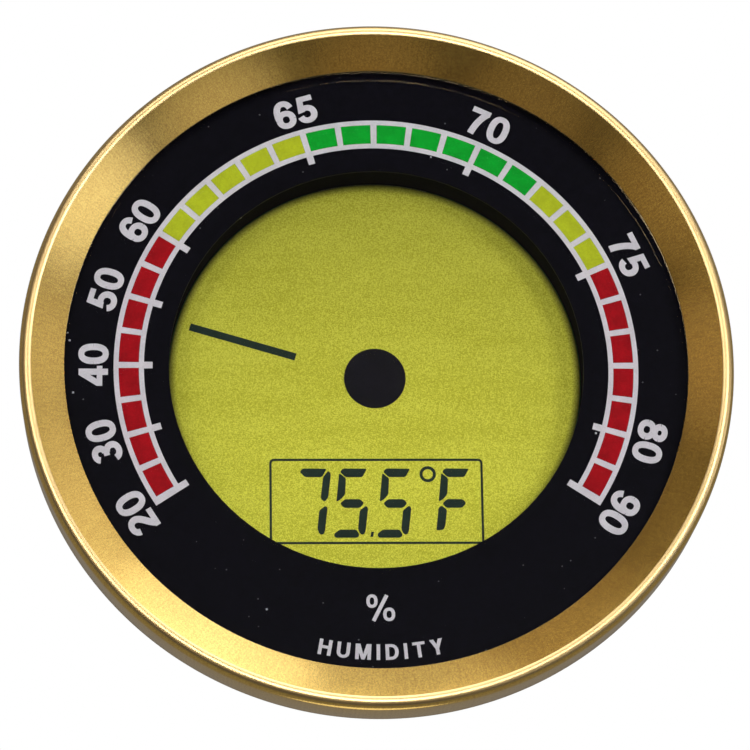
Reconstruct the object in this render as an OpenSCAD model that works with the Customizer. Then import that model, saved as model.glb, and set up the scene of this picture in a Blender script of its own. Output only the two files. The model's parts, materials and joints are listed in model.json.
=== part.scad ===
// Round panel hygrometer with a dial-style display, millimetres.
// Each sub-part is drawn with the dial facing +Z, the scale's top towards +Y and the back rim at z = 0,
// then stood up so that the dial faces -Y and the scale's top is +Z.

/* [Bezel] */
// Outside diameter of the bezel ring
bezel_d = 57; // [50:0.5:70]
// Height of the bezel ring from its back edge to its crest
bezel_h = 4.2; // [3:0.1:6]
// Diameter of the opening inside the bezel's lip
lip_d = 49.9; // [44:0.1:60]
// Diameter of the crest, where the dished face starts
crest_d = 55.4; // [48:0.1:68]
// Drop of the dished face from the crest to the lip
dish_drop = 1.65; // [0.5:0.05:2.5]

/* [Body] */
// Whole depth from the crest to the back rim
depth = 14; // [13:0.5:20]
// Diameter of the tube that goes into the hole
body_d = 45; // [42:0.5:52]
// Wall of the tube
wall = 1.2; // [0.8:0.1:2]
// Thickness of the back cover
cover_t = 1.5; // [1.2:0.1:2.5]

/* [Dial] */
// Thickness of the clear lens
lens_t = 0.9; // [0.6:0.1:1.5]
// Thickness of the printed mask and of the adhesive ring behind it
film_t = 0.2; // [0.1:0.05:0.4]
// Diameter of the round display opening in the mask
window_d = 33.3; // [28:0.1:38]
// Depth of the display's front face behind the mask's front face
display_depth = 3.4; // [2.5:0.1:5]
// Diameter of the black hub dot on the display
hub_d = 5; // [3:0.1:8]

/* [Battery] */
// Diameter of the coin cell
cell_d = 20; // [16:1:24]
// Thickness of the coin cell
cell_t = 3.2; // [1.6:0.4:5]
// Distance of the cell's axis below the middle of the dial
cell_drop = 5.5; // [4:0.1:7]
// Turn that opens the cap, in degrees
cap_turn = 90; // [60:5:100]
// Distance that the cap backs out over that turn
cap_lift = 1.6; // [1:0.1:2]

/* [Controls] */
// Diameter of the two push buttons
button_d = 3.6; // [3:0.1:5]
// Travel of a push button
button_travel = 0.4; // [0.2:0.05:0.8]
// Distance of each push button to the side of the middle
button_x = 7.2; // [6:0.1:9]
// Height of the push buttons above the middle of the dial
button_y = 13.3; // [12:0.1:15]
// Travel of the unit switch's knob
unit_travel = 2; // [1:0.1:3]
// Height of the unit switch above the middle of the dial
unit_y = 15.6; // [14:0.1:16.5]

/* [Hidden] */
$fn = 96;
eps = 0.01;
fit = 0.1;                       // gap between pieces that only lie beside each other
run = 0.06;                      // radial running clearance of a moving piece

bezel_r = bezel_d / 2;
lip_r = lip_d / 2;
crest_r = crest_d / 2;
body_r = body_d / 2;
bore_r = body_r - wall;
window_r = window_d / 2;

// Heights, counted up from the back rim.
bezel_z0 = depth - bezel_h;
lip_z = depth - dish_drop;
lip_t = 0.25;
lens_z1 = lip_z - lip_t;
lens_z0 = lens_z1 - lens_t;      // the print lies here, on the mask's front face
mask_z0 = lens_z0 - film_t;
flange_z1 = mask_z0 - film_t;
display_z = lens_z0 - display_depth;
polariser_t = 0.15;
glass_t = 0.6;
glass_z1 = display_z - polariser_t;
glass_z0 = glass_z1 - glass_t;
rear_glass_z0 = glass_z0 - glass_t;
reflector_z0 = rear_glass_z0 - polariser_t;
board_t = 0.8;
board_z0 = 5;
board_z1 = board_z0 + board_t;

// Bezel section.
bezel_wall = 1.1;
crimp = 0.5;                     // how far the rolled back edge reaches in under the flange
crimp_t = 0.4;
shoulder_r = 0.75;
edge_r = 0.15;
bezel_in_r = bezel_r - bezel_wall;
flange_r = bezel_in_r - fit;
lens_r = bezel_in_r - 2 * fit;
rabbet_r = body_r - wall / 2;    // step in the tube's front end that carries the flange ring

// Display sandwich.
holder_in_r = 16.8;
holder_out_r = bore_r - fit;
glass_half = 18;                 // half of the glass's width across its flats
rear_glass_half = 16.4;          // half of the rear glass's height, which leaves the two contact ledges
pocket_r = 19.9;
zebra_w = 1.2;
zebra_l = 14.8;                  // a little less than the glass's straight edge
zebra_y = glass_half - zebra_w / 2 - fit;

// Circuit board and its three screws.
board_r = 20.6;
board_screw_ring = 19.6;
board_screw_angles = [0, 90, 180];
blob_y = 10.9;
crystal_x = -16.9;
crystal_y = -6.4;
capacitor_spots = [[-12.5, 9.4], [12.5, 9.4], [15.6, -9.6]];
capacitor_size = [1.6, 0.8, 0.8];
resistor_spots = [[-3.6, 10.9], [3.6, 10.9], [-14.6, 6.4], [14.6, 6.4]];
resistor_size = [0.8, 1.6, 0.45];
post_r = 1.3;
small_shank_r = 0.5;
small_head_r = 1.05;
small_head_t = 0.6;
small_screw_depth = 2;

// Back cover screws and their bosses.
cover_screw_ring = 19;
cover_screw_angles = [44.4, 135.6, 228, 312];
boss_r = 1.9;
screw_shank_r = 0.7;
screw_head_r = 1.5;
screw_head_t = 0.7;
screw_sink = 0.05;               // how far a head sits below the back rim
screw_length = 3.6;
cover_r = bore_r - fit;

// Battery cap: a flange, a skirt round the cell and three lugs in helical grooves.
cap_r = 13.1;
cap_flange_t = 0.6;
cap_recess_r = cap_r + 0.15;
seal_t = 0.3;
seal_in_r = 12.15;
seal_out_r = 12.95;
cap_recess_z = cap_flange_t + seal_t;
barrel_r = 11;
barrel_bore_r = barrel_r + 0.1;
skirt_r = cell_d / 2 + 0.3;
cap_face_t = 1.4;
barrel_z1 = 2.4;
lug_r = 11.9;
lug_t = 0.6;
lug_angle = 14;
lug_root = 0.2;                  // how deep a lug starts inside the barrel's wall
lug_z0 = barrel_z1 - lug_t;
lug_gap = 0.1;
groove_r = lug_r + 0.12;
groove_steps = 10;
groove_overlap = 0.1;            // in degrees, with the step in radius between neighbours
groove_stagger = 0.03;
groove_play = 2;                 // how much wider than a lug a groove is, in degrees
lug_starts = [90, 210, 330];
collar_r = 13;
collar_z1 = 3;
well_out_r = 11.4;
well_z1 = 4.75;
coin_slot_l = 14;
coin_slot_w = 1.8;
coin_slot_t = 0.9;
arrow_r = 9.6;
arrow_t = 0.25;
arrow_line_w = 0.5;
arrow_from = 120;
arrow_to = 150;
arrow_head_r = 0.8;

cell_z0 = cap_face_t + fit;
cell_z1 = cell_z0 + cell_t;
cell_step_r = 8.9;
cell_step_t = 0.25;

// Battery contacts.
contact_t = 0.2;
contact_w = 3;
contact_gap = 0.02;
contact_reach = 2.1;

// Push buttons and their switches.
button_r = button_d / 2;
button_top = 0.25;               // how far the face of a button sits below the back rim
button_collar_r = button_r + 0.6;
button_collar_t = 0.5;
button_sides = [-1, 1];
switch_w = 4.5;
switch_z0 = 3.4;
stem_r = 0.9;
stem_z1 = 4.1;
arrow_w = 1.5;
arrow_depth = 0.2;

// Unit switch.
unit_body_w = 7;
unit_body_h = 2.9;
unit_body_z0 = 3.2;
unit_knob_w = 1.6;
unit_knob_h = 1.3;
unit_knob_top = 0.3;
unit_foot_w = 2.6;
unit_foot_h = unit_knob_h + 0.1;
unit_foot_z1 = board_z0 - 0.6;
unit_slot_w = 4;
unit_slot_h = 1.6;

// Vents and the pieces behind them.
vent_x = 17.4;
vent_y = 3;
vent_w = 3.2;
vent_h = 0.8;
vent_pitch = 1.6;
vent_count = 4;
filter_w = 4.2;
filter_h = 6.4;
filter_t = 0.15;

// Magnets.
magnet_x = 16.9;
magnet_y = -4.5;
magnet_r = 2.5;
magnet_t = 1;

gold = [0.80, 0.64, 0.34];
black = [0.05, 0.05, 0.06];
dark_grey = [0.16, 0.16, 0.17];
steel = [0.72, 0.72, 0.74];
board_green = [0.05, 0.32, 0.16];
lcd_green = [0.66, 0.68, 0.20];
ceramic_tan = [0.62, 0.50, 0.36];
clear = [0.95, 0.97, 1, 0.2];
filter_white = [0.9, 0.9, 0.88];
glass_grey = [0.75, 0.80, 0.78, 0.5];

// Stands a sub-part up: its +Z comes to face -Y.
module stood() {
    rotate([90, 0, 0]) children();
}

// Moves a sub-part to the battery's axis.
module at_cell() {
    translate([0, -cell_drop, 0]) children();
}

// Flat ring or, with no inner radius, a flat disc between two heights.
module ring(outer, inner, low, high) {
    translate([0, 0, low]) difference() {
        cylinder(r = outer, h = high - low);
        if (inner > 0) translate([0, 0, -eps]) cylinder(r = inner, h = high - low + 2 * eps);
    }
}

// Copies a child to each angle on a circle.
module on_circle(radius, angles) {
    for (a = angles) translate([radius * cos(a), radius * sin(a), 0]) children();
}

// Block centred on x and y between two heights.
module block(width, height, low, high) {
    translate([-width / 2, -height / 2, low]) cube([width, height, high - low]);
}

// Points of a round corner of the section, from one angle to another.
function corner(cx, cz, r, from, to, steps = 8) =
    [for (i = [0 : steps]) let (a = from + (to - from) * i / steps) [cx + r * cos(a), cz + r * sin(a)]];

module bezel() {
    dish_angle = atan2(dish_drop, crest_r - lip_r);
    section = concat(
        [[bezel_in_r - crimp, bezel_z0], [bezel_r - edge_r, bezel_z0]],
        corner(bezel_r - edge_r, bezel_z0 + edge_r, edge_r, -90, 0, 3),
        corner(bezel_r - shoulder_r, depth - shoulder_r, shoulder_r, 0, 90 + dish_angle),
        [[lip_r + edge_r, lip_z + edge_r * tan(dish_angle)]],
        corner(lip_r + edge_r / 2, lip_z - edge_r / 2, edge_r / 2, 90, 180, 3),
        [[lip_r, lens_z1], [bezel_in_r, lens_z1], [bezel_in_r, bezel_z0 + crimp_t],
         [bezel_in_r - crimp, bezel_z0 + crimp_t]]);
    color(gold) stood() rotate_extrude() polygon(section);
}

module lens() {
    color(clear) stood() ring(lens_r, 0, lens_z0, lens_z1);
}

module dial_mask() {
    color(black) stood() ring(lens_r, window_r, mask_z0, lens_z0);
}

module lens_gasket() {
    color(dark_grey) stood() ring(lens_r, bore_r + 2 * fit, flange_z1, mask_z0);
}

module hub_dot() {
    color(black) stood() ring(hub_d / 2, 0, display_z, display_z + polariser_t);
}

module lcd_polariser() {
    color(lcd_green) stood() ring(holder_in_r - fit, 0, glass_z1, display_z);
}

// Octagonal glass plate, cut off level at a half height.
module glass(half_height, low, high) {
    corner_r = glass_half / cos(22.5);
    color(glass_grey) stood() intersection() {
        translate([0, 0, low]) rotate([0, 0, 22.5]) cylinder(r = corner_r, h = high - low, $fn = 8);
        block(4 * glass_half, 2 * half_height, low, high);
    }
}

module lcd_front_glass() {
    glass(glass_half, glass_z0, glass_z1);
}

module lcd_rear_glass() {
    glass(rear_glass_half, rear_glass_z0, glass_z0);
}

module lcd_reflector() {
    color(steel) stood() ring(rear_glass_half - fit, 0, reflector_z0, rear_glass_z0);
}

// Spacer ring with a pocket for the glass and a post for each board screw.
module lcd_holder() {
    pilot_z1 = board_z0 + small_screw_depth + fit;
    color(black) stood() difference() {
        union() {
            ring(holder_out_r, holder_in_r, glass_z1, mask_z0);
            ring(holder_out_r, pocket_r, board_z1, glass_z1 + eps);
            on_circle(board_screw_ring, board_screw_angles) ring(post_r, 0, board_z1, glass_z1 + eps);
        }
        on_circle(board_screw_ring, board_screw_angles)
            translate([0, 0, board_z1 - eps]) cylinder(r = small_shank_r + fit, h = pilot_z1 - board_z1);
    }
}

module zebra(side) {
    color(dark_grey) stood() translate([0, side * zebra_y, 0]) block(zebra_l, zebra_w, board_z1, glass_z0);
}

module zebra_upper() {
    zebra(1);
}

module zebra_lower() {
    zebra(-1);
}

module circuit_board() {
    color(board_green) stood() difference() {
        ring(board_r, 0, board_z0, board_z1);
        on_circle(board_screw_ring, board_screw_angles)
            translate([0, 0, board_z0 - eps]) cylinder(r = small_shank_r + fit, h = board_t + 2 * eps);
    }
}

// Low dome of epoxy under the board.
module controller_blob() {
    blob_r = 1.9;
    blob_t = 0.9;
    ball_r = (blob_r * blob_r + blob_t * blob_t) / (2 * blob_t);
    color(black) stood() translate([0, blob_y, 0]) intersection() {
        translate([0, 0, board_z0 - blob_t + ball_r]) sphere(r = ball_r);
        ring(2 * blob_r, 0, board_z0 - 2 * blob_t, board_z0);
    }
}

// Sensor package with a round sensing window in the face that looks at the vents.
module humidity_sensor() {
    sensor_w = 2.5;
    sensor_t = 0.9;
    window_t = 0.3;
    color(dark_grey) stood() translate([-vent_x, vent_y, 0]) difference() {
        block(sensor_w, sensor_w, board_z0 - sensor_t, board_z0);
        translate([0, 0, board_z0 - sensor_t - eps]) cylinder(r = sensor_w / 5, h = window_t);
    }
}

module thermistor() {
    bead_r = 0.8;
    bead_z = board_z0 - bead_r;
    color(dark_grey) stood() translate([vent_x, vent_y, 0]) {
        translate([0, 0, bead_z]) sphere(r = bead_r);
    }
}

// Clock crystal in its drawn can, lying along the board's edge.
module crystal() {
    can_r = 1;
    can_l = 5.2;
    base_t = 0.5;
    color(steel) stood() translate([crystal_x, crystal_y, board_z0 - can_r - fit]) rotate([-90, 0, 0]) {
        cylinder(r = can_r, h = can_l);
        translate([0, 0, -base_t]) cylinder(r = 0.8 * can_r, h = base_t + eps);
    }
}

// Small surface-mount parts under the board: places [x, y] and a size [width, height, thickness].
module chips(spots, size) {
    for (spot = spots) translate([spot[0], spot[1], 0])
        block(size[0], size[1], board_z0 - size[2], board_z0);
}

module capacitors() {
    color(ceramic_tan) stood() chips(capacitor_spots, capacitor_size);
}

module resistors() {
    color(black) stood() chips(resistor_spots, resistor_size);
}

// Pan-head screw with its head at the low end and a cross recess in the head.
module screw(head_r, head_t, shank_r, length) {
    recess_w = head_r * 0.28;
    difference() {
        union() {
            translate([0, 0, -head_t]) cylinder(r = head_r, h = head_t);
            cylinder(r = shank_r, h = length);
        }
        for (turn = [0, 90]) rotate([0, 0, turn])
            block(1.3 * head_r, recess_w, -head_t - eps, -head_t / 2);
    }
}

module board_screws() {
    color(steel) stood() on_circle(board_screw_ring, board_screw_angles)
        translate([0, 0, board_z0]) screw(small_head_r, small_head_t, small_shank_r, small_screw_depth);
}

// Leaf spring on the board that presses on the cell's small face.
module contact_minus() {
    leaf_l = 9;
    dimple_r = 0.9;                // dimple in the leaf that meets the cell
    color(steel) stood() at_cell() {
        block(leaf_l, contact_w, board_z0 - contact_t, board_z0);
        ring(dimple_r, 0, cell_z1, board_z0 - contact_t + eps);
    }
}

// Blade that stands on the board and touches the side of the cell through a notch in the well.
module contact_plus() {
    blade_x = cell_d / 2 + contact_gap;
    foot_l = 3;
    color(steel) stood() at_cell() {
        translate([blade_x, -contact_w / 2, board_z0 - contact_reach])
            cube([contact_t, contact_w, contact_reach]);
        translate([blade_x, -contact_w / 2, board_z0 - contact_t]) cube([foot_l, contact_w, contact_t]);
    }
}

// Coin cell: the large can faces the cap, the smaller lid faces the board.
module coin_cell() {
    cell_r = cell_d / 2;
    can_z1 = cell_z1 - cell_step_t;
    curl = 0.25;
    can = [[0, cell_z0], [cell_r - curl, cell_z0], [cell_r, cell_z0 + curl], [cell_r, can_z1 - curl],
           [cell_r - 2 * curl, can_z1], [cell_step_r, can_z1], [cell_step_r - curl, cell_z1], [0, cell_z1]];
    color(steel) stood() at_cell() rotate_extrude() polygon(can);
}

// Tube of the body, with four bosses inside for the cover's screws and a rabbet for the front flange.
module case() {
    boss_h = board_z0 - fit / 2 - cover_t;
    rib_w = 2;
    rib_l = bore_r - cover_screw_ring + fit;
    section = [[bore_r, 0], [body_r - edge_r, 0], [body_r, edge_r], [body_r, bezel_z0],
               [rabbet_r, bezel_z0], [rabbet_r, flange_z1], [bore_r, flange_z1]];
    color(black) stood() {
        rotate_extrude() polygon(section);
        for (a = cover_screw_angles) rotate([0, 0, a]) difference() {
            translate([cover_screw_ring, 0, cover_t]) {
                cylinder(r = boss_r, h = boss_h);
                translate([0, -rib_w / 2, 0]) cube([rib_l, rib_w, boss_h]);
            }
            translate([cover_screw_ring, 0, cover_t - eps]) cylinder(r = screw_shank_r + fit, h = board_z0);
        }
    }
}

// Flat ring welded on the tube's rabbet. The bezel's rolled edge hooks behind its thinner rim.
module front_flange() {
    seat_r = bezel_in_r - crimp - fit;
    rim_z = bezel_z0 + crimp_t + fit / 2;
    section = [[rabbet_r, bezel_z0], [seat_r, bezel_z0], [seat_r, rim_z], [flange_r, rim_z],
               [flange_r, flange_z1], [rabbet_r, flange_z1]];
    color(black) stood() rotate_extrude() polygon(section);
}

// Sector of a ring between two angles and two heights.
module sector(outer, inner, from, to, low, high) {
    rotate([0, 0, from]) translate([0, 0, low]) rotate_extrude(angle = to - from)
        translate([inner, 0]) square([outer - inner, high - low]);
}

// One helical groove: a stair of short sectors, side by side. Each sector is as tall as the stretch of
// the lug's climb that passes it. Neighbours overlap a little and differ a little in radius.
module groove(start) {
    lift_per_degree = cap_lift / cap_turn;
    span = lug_angle + groove_play;
    slot = (cap_turn + span) / groove_steps;
    trailing = start + span / 2;
    for (i = [0 : groove_steps - 1]) {
        first_turn = max(0, i * slot - span);
        last_turn = min(cap_turn, (i + 1) * slot);
        stagger = groove_stagger * (i % 2);
        sector(groove_r + stagger, skirt_r + lug_root - stagger,
               trailing - (i + 1) * slot - groove_overlap, trailing - i * slot,
               lug_z0 - last_turn * lift_per_degree - lug_gap,
               barrel_z1 - first_turn * lift_per_degree + lug_gap);
    }
}

// Back plate with the battery's collar and well. A notch in both lets the plus contact reach the cell.
module back_cover() {
    notch_l = 3.2;
    notch_w = contact_w + 0.6;
    color(dark_grey) stood() difference() {
        union() {
            ring(cover_r, 0, 0, cover_t);
            at_cell() ring(collar_r, 0, cover_t - eps, collar_z1);
            at_cell() ring(well_out_r, 0, collar_z1 - eps, well_z1);
        }
        at_cell() {
            translate([0, 0, -eps]) cylinder(r = cap_recess_r, h = cap_recess_z + eps);
            cylinder(r = barrel_bore_r, h = barrel_z1 + 2 * lug_gap);
            cylinder(r = skirt_r, h = well_z1 + eps);
            for (start = lug_starts) groove(start);
            translate([cell_d / 2, -notch_w / 2, board_z0 - contact_reach - fit])
                cube([notch_l, notch_w, contact_reach]);
        }
        for (side = button_sides) translate([side * button_x, button_y, -eps])
            cylinder(r = button_r + run, h = cover_t + 2 * eps);
        translate([0, unit_y, 0]) block(unit_slot_w, unit_slot_h, -eps, cover_t + eps);
        on_circle(cover_screw_ring, cover_screw_angles) translate([0, 0, -eps]) {
            cylinder(r = screw_shank_r + fit, h = cover_t + 2 * eps);
            cylinder(r = screw_head_r + fit, h = screw_head_t + eps);
        }
        for (side = [-1, 1]) {
            translate([side * magnet_x, magnet_y, -eps])
                cylinder(r = magnet_r + fit / 2, h = magnet_t + eps);
            for (i = [0 : vent_count - 1])
                translate([side * vent_x, vent_y + (i - (vent_count - 1) / 2) * vent_pitch, 0])
                    block(vent_w, vent_h, -eps, cover_t + eps);
        }
    }
}

module cover_screws() {
    color(steel) stood() on_circle(cover_screw_ring, cover_screw_angles)
        translate([0, 0, screw_head_t])
            screw(screw_head_r, screw_head_t - screw_sink, screw_shank_r, screw_length);
}

module battery_cap() {
    color(black) stood() at_cell() difference() {
        union() {
            ring(cap_r, 0, 0, cap_flange_t);
            ring(barrel_r, 0, 0, cap_face_t);
            ring(barrel_r, skirt_r, cap_face_t - eps, barrel_z1);
            for (start = lug_starts) rotate([0, 0, start])
                sector(lug_r, barrel_r - lug_root, -lug_angle / 2, lug_angle / 2, lug_z0, barrel_z1);
        }
        block(coin_slot_l, coin_slot_w, -eps, coin_slot_t);
        sector(arrow_r, arrow_r - arrow_line_w, arrow_from, arrow_to, -eps, arrow_t);
        rotate([0, 0, arrow_from - 2]) translate([arrow_r - arrow_line_w / 2, 0, -eps])
            rotate([0, 0, -90]) cylinder(r = arrow_head_r, h = arrow_t + eps, $fn = 3);
    }
}

module cap_seal() {
    color(dark_grey) stood() at_cell() ring(seal_out_r, seal_in_r, cap_flange_t, cap_recess_z);
}

// Push button: a round face with a sunk arrow, and a collar inside the cover that keeps it in.
module button(side, arrow_turn) {
    color(dark_grey) stood() translate([side * button_x, button_y, 0]) difference() {
        union() {
            ring(button_r, 0, button_top, cover_t + fit);
            ring(button_collar_r, 0, cover_t + fit / 2, cover_t + button_collar_t);
        }
        translate([0, 0, button_top - eps]) rotate([0, 0, arrow_turn])
            cylinder(r = arrow_w / 2, h = arrow_depth, $fn = 3);
    }
}

module up_button() {
    button(1, 90);
}

module down_button() {
    button(-1, -90);
}

module stem(side) {
    color(black) stood() translate([side * button_x, button_y, 0])
        ring(stem_r, 0, cover_t + button_collar_t, stem_z1);
}

module up_stem() {
    stem(1);
}

module down_stem() {
    stem(-1);
}

module switch_body(side) {
    color(steel) stood() translate([side * button_x, button_y, 0]) difference() {
        block(switch_w, switch_w, switch_z0, board_z0);
        translate([0, 0, switch_z0 - eps])
            cylinder(r = stem_r + run, h = stem_z1 + button_travel + fit - switch_z0);
    }
}

module up_switch() {
    switch_body(1);
}

module down_switch() {
    switch_body(-1);
}

// Slide switch body, open towards the cover where the knob's foot runs.
module unit_switch() {
    run_l = unit_foot_w + unit_travel + 2 * fit;
    color(steel) stood() translate([0, unit_y, 0]) difference() {
        block(unit_body_w, unit_body_h, unit_body_z0, board_z0);
        block(run_l, unit_foot_h + 2 * run, unit_body_z0 - eps, unit_foot_z1 + fit);
    }
}

// Knob at the left end of its run, as seen from the front: the Fahrenheit end.
module unit_knob() {
    rib_pitch = unit_knob_w / 4;
    color(dark_grey) stood() translate([-unit_travel / 2, unit_y, 0]) difference() {
        union() {
            block(unit_knob_w, unit_knob_h, unit_knob_top, unit_foot_z1);
            block(unit_foot_w, unit_foot_h, unit_body_z0 + 2 * fit, unit_foot_z1);
        }
        for (i = [-1 : 1]) translate([i * rib_pitch, 0, 0])
            block(0.4 * rib_pitch, 2 * unit_knob_h, unit_knob_top - eps, unit_knob_top + 0.4 * rib_pitch);
    }
}

module mount_magnets() {
    color(steel) stood() for (side = [-1, 1]) translate([side * magnet_x, magnet_y, 0])
        ring(magnet_r, 0, 0.02, magnet_t);
}

module vent_filters() {
    color(filter_white) stood() for (side = [-1, 1]) translate([side * vent_x, vent_y, 0])
        block(filter_w, filter_h, cover_t, cover_t + filter_t);
}

bezel();
lens();
dial_mask();
lens_gasket();
hub_dot();
lcd_polariser();
lcd_front_glass();
lcd_rear_glass();
lcd_reflector();
lcd_holder();
zebra_upper();
zebra_lower();
circuit_board();
controller_blob();
humidity_sensor();
thermistor();
crystal();
capacitors();
resistors();
board_screws();
contact_minus();
contact_plus();
coin_cell();
case();
front_flange();
back_cover();
cover_screws();
battery_cap();
cap_seal();
up_button();
down_button();
up_stem();
down_stem();
up_switch();
down_switch();
unit_switch();
unit_knob();
mount_magnets();
vent_filters();
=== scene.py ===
"""Dial hygrometer: looks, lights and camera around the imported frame.

The dial is drawn in millimetres in its own frame: x right, y up and z out of the dial, with the back rim at
z = 0.
"""
import json
import math
import bmesh
import bpy
from mathutils import Matrix, Vector, geometry


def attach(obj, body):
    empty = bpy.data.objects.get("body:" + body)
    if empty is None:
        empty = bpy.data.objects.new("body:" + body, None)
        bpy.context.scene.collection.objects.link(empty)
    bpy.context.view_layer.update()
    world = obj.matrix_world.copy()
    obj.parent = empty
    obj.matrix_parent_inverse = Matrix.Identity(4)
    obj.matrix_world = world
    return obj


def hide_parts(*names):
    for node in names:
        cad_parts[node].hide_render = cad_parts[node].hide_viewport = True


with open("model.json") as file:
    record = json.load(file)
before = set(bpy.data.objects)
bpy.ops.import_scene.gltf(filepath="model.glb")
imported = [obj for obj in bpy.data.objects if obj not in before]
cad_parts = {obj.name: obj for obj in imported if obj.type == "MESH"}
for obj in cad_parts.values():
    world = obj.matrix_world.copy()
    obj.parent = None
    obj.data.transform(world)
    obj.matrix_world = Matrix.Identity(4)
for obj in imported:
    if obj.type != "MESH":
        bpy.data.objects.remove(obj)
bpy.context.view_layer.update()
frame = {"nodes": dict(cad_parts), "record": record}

MM = 0.001

# Heights of the parts along the dial's axis, counted up from the back rim, and radii.
PRINT_Z = 11.2
DISPLAY_Z = 7.8
LENS_Z = (11.26, 12.1)
LENS_R = 27.2
LENS_BEVEL = 0.1
DISH_R = 26.5                    # middle of the bezel's dish
FILM_R = 16.75                   # where the painted shade on the display film is darkest, at its edge
FILM_FADE = 0.70                 # width of the painted edge shade


def at(x, y, z):
    """Point of the dial's frame in Blender's frame, in metres."""
    return Vector((x * MM, -z * MM, y * MM))


# ---------------------------------------------------------------- materials

def tone(color, factor):
    """The colour made lighter or darker."""
    return tuple(min(1, c * factor) for c in color[:3]) + (1,)


class Mat:
    """A node material under construction. Sizes are in millimetres on the object."""

    def __init__(self, name):
        self.material = bpy.data.materials.new(name)
        self.material.use_nodes = True
        self.tree = self.material.node_tree
        self.bsdf = self.tree.nodes["Principled BSDF"]
        self.out = self.tree.nodes["Material Output"]
        self.coord = self.tree.nodes.new("ShaderNodeTexCoord").outputs["Object"]

    def link(self, a, b):
        self.tree.links.new(a, b)

    def set(self, **values):
        """Sets the shader's inputs to fixed values."""
        for key, value in values.items():
            self.bsdf.inputs[key.replace("_", " ")].default_value = value
        return self

    def noise(self, size, detail=2.0, rough=0.5, stretch=None):
        """Cloudy noise with patches of a size, between 0 and 1."""
        node = self.tree.nodes.new("ShaderNodeTexNoise")
        node.inputs["Scale"].default_value = 1 / (size * MM)
        node.inputs["Detail"].default_value = detail
        node.inputs["Roughness"].default_value = rough
        source = self.coord
        if stretch:
            mapping = self.tree.nodes.new("ShaderNodeMapping")
            mapping.inputs["Scale"].default_value = stretch
            self.link(source, mapping.inputs["Vector"])
            source = mapping.outputs["Vector"]
        self.link(source, node.inputs["Vector"])
        return node.outputs["Fac"]

    def polar(self):
        """Radius from the dial's axis in metres, angle round it in radians, and height y in metres."""
        split = self.tree.nodes.new("ShaderNodeSeparateXYZ")
        self.link(self.coord, split.inputs[0])
        x, y = split.outputs["X"], split.outputs["Z"]
        squares = self.math("ADD", self.math("MULTIPLY", x, x), self.math("MULTIPLY", y, y))
        radius = self.math("SQRT", squares, 0)
        return radius, self.math("ARCTAN2", y, x), y

    def streaks(self, across, along, detail=2.0):
        """Noise drawn out along the radius: across and along are its sizes at the bezel's radius."""
        radius, turn, _ = self.polar()
        join = self.tree.nodes.new("ShaderNodeCombineXYZ")
        self.link(self.math("MULTIPLY", turn, DISH_R / across), join.inputs[0])
        self.link(self.math("MULTIPLY", radius, 1 / (along * MM)), join.inputs[1])
        node = self.tree.nodes.new("ShaderNodeTexNoise")
        node.inputs["Scale"].default_value = 1.0
        node.inputs["Detail"].default_value = detail
        self.link(join.outputs[0], node.inputs["Vector"])
        return node.outputs["Fac"]

    def cells(self, size):
        """Scattered points, one to a cell of a size."""
        node = self.tree.nodes.new("ShaderNodeTexVoronoi")
        node.inputs["Scale"].default_value = 1 / (size * MM)
        self.link(self.coord, node.inputs["Vector"])
        return node

    def span(self, value, low, high, to_low=0.0, to_high=1.0):
        """The value's stretch from low to high, laid over another stretch."""
        node = self.tree.nodes.new("ShaderNodeMapRange")
        for key, v in (("From Min", low), ("From Max", high), ("To Min", to_low), ("To Max", to_high)):
            node.inputs[key].default_value = v
        self.link(value, node.inputs["Value"])
        return node.outputs["Result"]

    def math(self, op, a, b):
        """One step of arithmetic on nodes or numbers."""
        node = self.tree.nodes.new("ShaderNodeMath")
        node.operation = op
        for socket, v in zip(node.inputs, (a, b)):
            if isinstance(v, (int, float)):
                socket.default_value = v
            else:
                self.link(v, socket)
        return node.outputs[0]

    def mix(self, fac, a, b):
        """A blend of two colours."""
        node = self.tree.nodes.new("ShaderNodeMix")
        node.data_type = "RGBA"
        for socket, v in ((node.inputs[0], fac), (node.inputs[6], a), (node.inputs[7], b)):
            if isinstance(v, (tuple, list, int, float)):
                socket.default_value = v
            else:
                self.link(v, socket)
        return node.outputs[2]

    def bump(self, height, strength, distance):
        """A surface that follows a height, over a distance in millimetres."""
        node = self.tree.nodes.new("ShaderNodeBump")
        node.inputs["Strength"].default_value = strength
        node.inputs["Distance"].default_value = distance * MM
        self.link(height, node.inputs["Height"])
        return node.outputs["Normal"]

    def into(self, **sources):
        """Links nodes to the shader's inputs."""
        for key, source in sources.items():
            self.link(source, self.bsdf.inputs[key.replace("_", " ")])
        return self


def moulded(name, color, grain=0.25, vary=0.18, rough=(0.42, 0.6), bump=0.35, depth=0.02, **values):
    """Moulded plastic, rubber or paint: a fine texture, uneven gloss and slight patches of colour."""
    mat = Mat(name)
    fine = mat.noise(grain, 3, 0.6)
    wide = mat.noise(grain * 22, 2, 0.5)
    mottle = mat.math("ADD", mat.math("MULTIPLY", fine, 0.6), mat.math("MULTIPLY", wide, 0.4))
    shade = mat.span(mottle, 0.35, 0.65)
    mat.into(Base_Color=mat.mix(shade, tone(color, 1 - vary), tone(color, 1 + vary)),
             Roughness=mat.span(wide, 0.3, 0.7, *rough),
             Normal=mat.bump(fine, bump, depth))
    return mat.set(**values).material


def metal(name, color, grain=0.2, rough=(0.22, 0.38), bump=0.15, depth=0.01, vary=0.06):
    """Sheet or plated metal with a fine grain and slight patches of colour."""
    mat = Mat(name)
    fine = mat.noise(grain, 4, 0.65)
    wide = mat.noise(grain * 15, 2, 0.5)
    mat.into(Base_Color=mat.mix(mat.span(wide, 0.3, 0.7), tone(color, 1 - vary), tone(color, 1 + vary)),
             Roughness=mat.span(fine, 0.3, 0.7, *rough),
             Normal=mat.bump(fine, bump, depth))
    return mat.set(Metallic=1.0).material


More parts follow.
